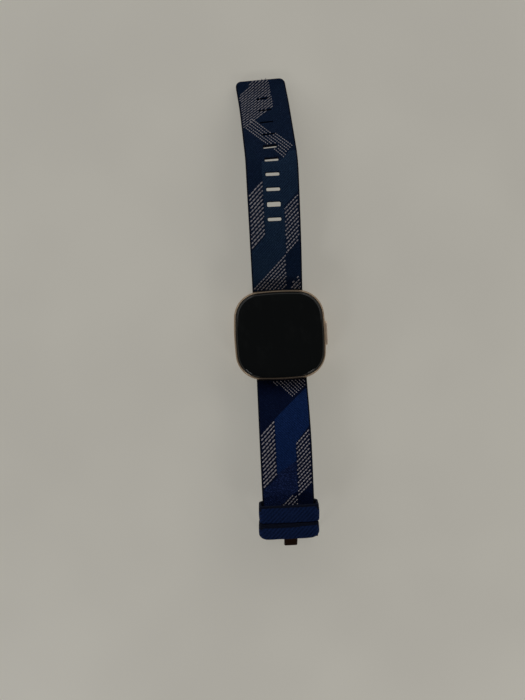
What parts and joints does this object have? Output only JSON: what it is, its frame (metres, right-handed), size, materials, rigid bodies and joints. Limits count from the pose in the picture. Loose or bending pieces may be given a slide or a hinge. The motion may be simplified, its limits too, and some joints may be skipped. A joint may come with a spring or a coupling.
{
  "type": "golf gps watch",
  "caption": "Square-faced GPS watch with a black curved glass, a metal rim, a side button and a woven two-part strap with slots, keepers and a tang buckle.",
  "frame": {"origin": "middle of the flat on the case back, on which the case rests", "axes": "+X towards the side button, +Y towards the slotted tail strap, +Z out of the glass"},
  "size_m": [0.0413, 0.2116, 0.0175],
  "materials": {
    "rim_metal": "copper-rose anodised, satin",
    "buckle_metal": "copper-rose anodised, satin",
    "black_glass": "polished, black behind",
    "sensor_glass": "polished, tinted",
    "screen": "black, unlit",
    "black_rubber": "matt",
    "flex_amber": "amber film",
    "dark_plastic": "fine moulded grain",
    "circuit_board": "solder mask",
    "chip_black": "moulded",
    "antenna_ceramic": "fired ceramic",
    "cell_foil": "foil pouch",
    "steel": "turned",
    "led_resin": "clear resin",
    "gold": "gold plated",
    "woven_face": "jacquard weave in two blues with pale dashes",
    "strap_lining": "fine plain weave",
    "keeper_fabric": "blue twill with dark edges"
  },
  "bodies": {
    "case": {"case_body": "rim_metal", "cover_glass": "black_glass", "glass_gasket": "black_rubber", "display_module": "screen", "display_flex": "flex_amber", "inner_frame": "dark_plastic", "main_board": "circuit_board", "board_chips": "chip_black", "gps_antenna": "antenna_ceramic", "battery": "cell_foil", "vibration_motor": "steel", "sensor_board": "circuit_board", "sensor_leds": "led_resin", "sensor_window": "sensor_glass", "charging_contacts": "gold", "back_cover": "dark_plastic", "back_seal": "black_rubber", "back_screws": "steel", "button_switch": "chip_black"},
    "side_button": {"side_button": "rim_metal", "button_seal": "black_rubber", "button_clip": "steel", "switch_plunger": "led_resin"},
    "tail_root": {"tail_end_fitting": "dark_plastic", "tail_bar_tube": "steel", "tail_bar_tip": "steel", "tail_bar_spring": "steel", "tail_root_face": "woven_face", "tail_root_lining": "strap_lining"},
    "tail_release": {"tail_release_pin": "steel"},
    "tail_middle": {"tail_middle_face": "woven_face", "tail_middle_lining": "strap_lining"},
    "tail_tip": {"tail_tip_face": "woven_face", "tail_tip_lining": "strap_lining"},
    "buckle_root": {"buckle_end_fitting": "dark_plastic", "buckle_bar_tube": "steel", "buckle_bar_tip": "steel", "buckle_bar_spring": "steel", "buckle_root_face": "woven_face", "buckle_root_lining": "strap_lining"},
    "buckle_release": {"buckle_release_pin": "steel"},
    "buckle_end": {"buckle_end_face": "woven_face", "buckle_end_lining": "strap_lining", "sewn_keeper": "keeper_fabric", "buckle_bar": "steel"},
    "free_keeper": {"free_keeper": "keeper_fabric"},
    "buckle_frame": {"buckle_frame": "buckle_metal"},
    "buckle_tang": {"buckle_tang": "buckle_metal"}
  },
  "joints": [
    {"name": "side_button_press", "type": "slide", "parent": "case", "child": "side_button", "axis": [-1, 0, 0], "range_m": [0, 0.0004], "stiffness_N_per_m": 4000},
    {"name": "tail_pivot", "type": "hinge", "parent": "case", "child": "tail_root", "pos_m": [0, 0.0176, 0.0032], "axis": [-1, 0, 0], "range_deg": [-5, 65]},
    {"name": "tail_release_slide", "type": "slide", "parent": "tail_root", "child": "tail_release", "axis": [-1, 0, 0], "range_m": [0, 0.0012], "stiffness_N_per_m": 600},
    {"name": "tail_curl", "type": "hinge", "parent": "tail_root", "child": "tail_middle", "pos_m": [0, 0.04688, 0.01193], "axis": [-1, 0, 0], "range_deg": [-10, 40], "stiffness_Nm_per_rad": 0.03},
    {"name": "tail_tip_curl", "type": "hinge", "parent": "tail_middle", "child": "tail_tip", "pos_m": [0, 0.07896, 0.01125], "axis": [-1, 0, 0], "range_deg": [-10, 40], "stiffness_Nm_per_rad": 0.03},
    {"name": "buckle_pivot", "type": "hinge", "parent": "case", "child": "buckle_root", "pos_m": [0, -0.0176, 0.0032], "axis": [1, 0, 0], "range_deg": [-5, 65]},
    {"name": "buckle_release_slide", "type": "slide", "parent": "buckle_root", "child": "buckle_release", "axis": [-1, 0, 0], "range_m": [0, 0.0012], "stiffness_N_per_m": 600},
    {"name": "buckle_curl", "type": "hinge", "parent": "buckle_root", "child": "buckle_end", "pos_m": [0, -0.04944, 0.01417], "axis": [1, 0, 0], "range_deg": [-10, 40], "stiffness_Nm_per_rad": 0.03},
    {"name": "free_keeper_slide", "type": "slide", "parent": "buckle_end", "child": "free_keeper", "axis": [0, 0.9962, 0.0872], "range_m": [0, 0.011]},
    {"name": "buckle_frame_pivot", "type": "hinge", "parent": "buckle_end", "child": "buckle_frame", "pos_m": [0, -0.08751, 0.01121], "axis": [-1, 0, 0], "range_deg": [-26, 53]},
    {"name": "buckle_tang_pivot", "type": "hinge", "parent": "buckle_frame", "child": "buckle_tang", "pos_m": [0, -0.08751, 0.01121], "axis": [-1, 0, 0], "range_deg": [-15, 36]}
  ],
  "couplings": [
    {"joint": "tail_tip_curl", "follows": "tail_curl", "ratio": 1}
  ]
}
